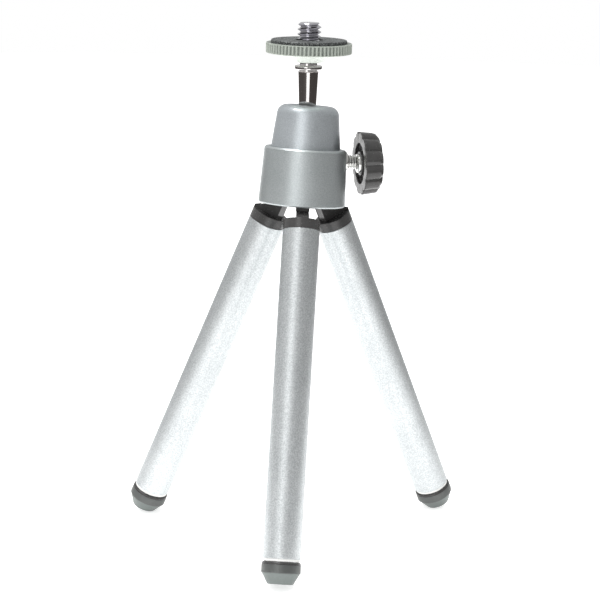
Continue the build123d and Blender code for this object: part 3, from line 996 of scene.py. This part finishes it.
band_outline = soften(
    [
        (0.0, 7.8),
        (4.98, 7.8, 0.18),
        (4.98, 10.44, 0.1),
        (4.46, 10.48),
        (4.46, 19.4, 0.3),
        (0.0, 19.4),
    ]
)
tube_outline = soften(
    [
        (4.5, TUBE_TOP + 0.02, 0.08),
        (4.98, TUBE_TOP + 0.02, 0.14),
        (4.98, TUBE_END - 0.02, 0.14),
        (4.5, TUBE_END - 0.02, 0.08),
    ],
    loop=True,
)
bush_outline = soften(
    [
        (4.16, TUBE_END - 8.0, 0.08),
        (4.46, TUBE_END - 8.0, 0.08),
        (4.46, TUBE_END),
        (4.78, TUBE_END, 0.08),
        (4.78, TUBE_END + 0.7, 0.2),
        (4.16, TUBE_END + 0.7, 0.08),
    ],
    loop=True,
)
inner_outline = soften(
    [
        (3.7, 30.0, 0.1),
        (4.1, 30.0, 0.1),
        (4.1, 100.3, 0.1),
        (3.7, 100.3, 0.1),
    ],
    loop=True,
)
lip_outline = soften(
    [
        (4.14, FOOT_TOP + 0.9),
        (4.14, FOOT_TOP, 0.1),
        (5.18, FOOT_TOP, 0.62),
        (5.18, FOOT_TOP + 0.66, 0.04),
        (5.08, FOOT_TOP + 0.70, 0.02),
        (5.08, FOOT_TOP + 0.9),
    ],
    loop=True,
)
foot_outline = soften(
    [
        (0.0, 92.1),
        (3.6, 92.1, 0.3),
        (3.6, 100.4),
        (4.14, 100.4, 0.1),
        (4.14, FOOT_TOP + 0.74, 0.1),
        (5.18, FOOT_TOP + 0.74, 0.08),
        (5.18, FOOT_TOP + 2.9, 0.2),
        (4.9, FOOT_TOP + 2.96, 0.05),
        (0.0, FOOT_TOP + 2.96),
    ]
)
sole_outline = soften(
    [
        (0.0, FOOT_TOP + 2.5),
        (4.8, FOOT_TOP + 2.5),
        (5.0, FOOT_TOP + 2.98, 0.1),
        (3.35, FOOT_END - 0.01, 0.35),
        (2.6, FOOT_END - 0.01, 0.1),
        (2.3, FOOT_END - 0.4, 0.2),
        (0.0, FOOT_END - 0.4),
    ]
)
for name, leg in LEGS.items():
    upper, lower = f"leg_{name}", f"lower_leg_{name}"
    make(
        f"leg_band_{name}", lathe(leg, band_outline), upper, "black_plastic",
        f"leg_plug_{name}",
    )
    make(
        f"leg_tube_{name}", lathe(leg, tube_outline, 128), upper, "leg_aluminium",
        f"outer_tube_{name}",
    )
    make(
        f"bush_moulded_{name}", lathe(leg, bush_outline), upper, "white_plastic",
        f"slide_bush_{name}",
    )
    make(
        f"inner_leg_tube_{name}", lathe(leg, inner_outline), lower, "inner_aluminium",
        f"inner_tube_{name}",
    )
    make(
        f"foot_moulded_{name}", lathe(leg, foot_outline, 128), lower, "foot_rubber",
        f"foot_{name}",
    )
    make(
        f"foot_lip_{name}", lathe(leg, lip_outline, 128), lower, "black_plastic",
        f"foot_{name}", slot="foot_rubber",
    )
    make(
        f"foot_sole_{name}", lathe(leg, sole_outline, 128), lower, "sole_rubber",
        f"foot_{name}", slot="foot_rubber",
    )

# %% [markdown]
# ## Studio
# A pale sheet on a darker table, in a room that is brighter on the left and at the
# back. Mirrors and satin metal see the dark table at the sides; the eye sees only
# the pale floor. A tall narrow softbox stands to the left of the camera.

# %% room
scene = bpy.context.scene
scene.view_settings.view_transform = "Standard"
SHEET_R = 1.4

world = bpy.data.worlds.new("room")
scene.world = world
world.use_nodes = True
backdrop = next(n for n in world.node_tree.nodes if n.type == "BACKGROUND")
room = Wire(world.node_tree)
way = room.node("ShaderNodeTexCoord", output="Generated")
east = room.node("ShaderNodeSeparateXYZ", {}, {0: way}, output=0)
north = room.node("ShaderNodeSeparateXYZ", {}, {0: way}, output=1)
high = room.node("ShaderNodeSeparateXYZ", {}, {0: way}, output=2)
walls = 0.50 - east * 0.14 + north * 0.10 + high * 0.15
seen = room.node("ShaderNodeLightPath", output="Is Camera Ray")
strength = seen + (1 - seen) * walls
world.node_tree.links.new(strength.socket, backdrop.inputs["Strength"])
backdrop.inputs["Color"].default_value = WHITE


def flat_ring(name, inner, outer, height, front, back):
    """Two arcs of a ring on the floor, open at the front and at the back."""
    solid = bmesh.new()
    for side in (0, 1):
        start = -pi / 2 + front if side else pi / 2 + back
        end = pi / 2 - back if side else 3 * pi / 2 - front
        ends = []
        for step in range(37):
            angle = start + (end - start) * step / 36
            ends.append(
                [
                    solid.verts.new((r * cos(angle), r * sin(angle), height))
                    for r in (inner, outer)
                ]
            )
        for (a, b), (c, d) in zip(ends, ends[1:]):
            solid.faces.new((a, b, d, c))
    return as_object(name, solid)


# %% floor
floor_solid = bmesh.new()
floor_solid.faces.new(
    [
        floor_solid.verts.new(
            (SHEET_R * cos(2 * pi * k / 64), SHEET_R * sin(2 * pi * k / 64), -0.0002)
        )
        for k in range(64)
    ]
)
floor_piece = as_object("floor", floor_solid)
floor_piece.data.materials.append(
    finish_material(
        "floor_card",
        base=lambda place: between(
            noise(place, 0.4), (0.93, 0.93, 0.93), (0.95, 0.95, 0.95)
        ),
        roughness=lambda place: 0.8 + noise(place, 0.1) * 0.1,
    )
)
floor_shader = next(
    n for n in floor_piece.data.materials[0].node_tree.nodes if n.type == "BSDF_PRINCIPLED"
)
floor_shader.inputs["Emission Color"].default_value = WHITE
floor_shader.inputs["Emission Strength"].default_value = 0.62
table_pieces = [
    flat_ring("table_near", 0.27, 0.82, 0.0004, radians(17), radians(34)),
    flat_ring("table_far", 0.82, 2.4, 0.0004, 0.0, radians(34)),
]
dark_wood = finish_material(
    "dark_wood",
    base=lambda place: between(
        noise(place, 0.05), (0.030, 0.024, 0.021), (0.050, 0.040, 0.036)
    ),
    roughness=lambda place: 0.7 + noise(place, 0.1) * 0.1,
)
for table_piece in table_pieces:
    table_piece.data.materials.append(dark_wood)
    for seen_by in ("camera", "diffuse", "shadow", "transmission", "volume_scatter"):
        setattr(table_piece, f"visible_{seen_by}", False)


# %% lights
def softbox(name, position, aim, width, height, power, glossy=True):
    """Rectangular light that looks at a point."""
    lamp = bpy.data.lights.new(name, "AREA")
    lamp.shape = "RECTANGLE"
    lamp.size, lamp.size_y = width, height
    lamp.energy = power
    lit = bpy.data.objects.new(name, lamp)
    lit.location = position
    lit.rotation_mode = "QUATERNION"
    lit.rotation_quaternion = (Vector(aim) - Vector(position)).to_track_quat("-Z", "Y")
    lit.visible_glossy = glossy
    scene.collection.objects.link(lit)
    return lit


HEART = (0.0, 0.0, 0.08)
softbox("floor_fill", (0, 0, 1.4), (0, 0, 0), 1.6, 1.6, 11.0, glossy=False)
softbox("key", (-0.33, -0.84, 0.42), HEART, 0.46, 0.80, 1.75)
softbox("top", (-0.26, -0.12, 0.88), HEART, 0.36, 0.36, 3.4)
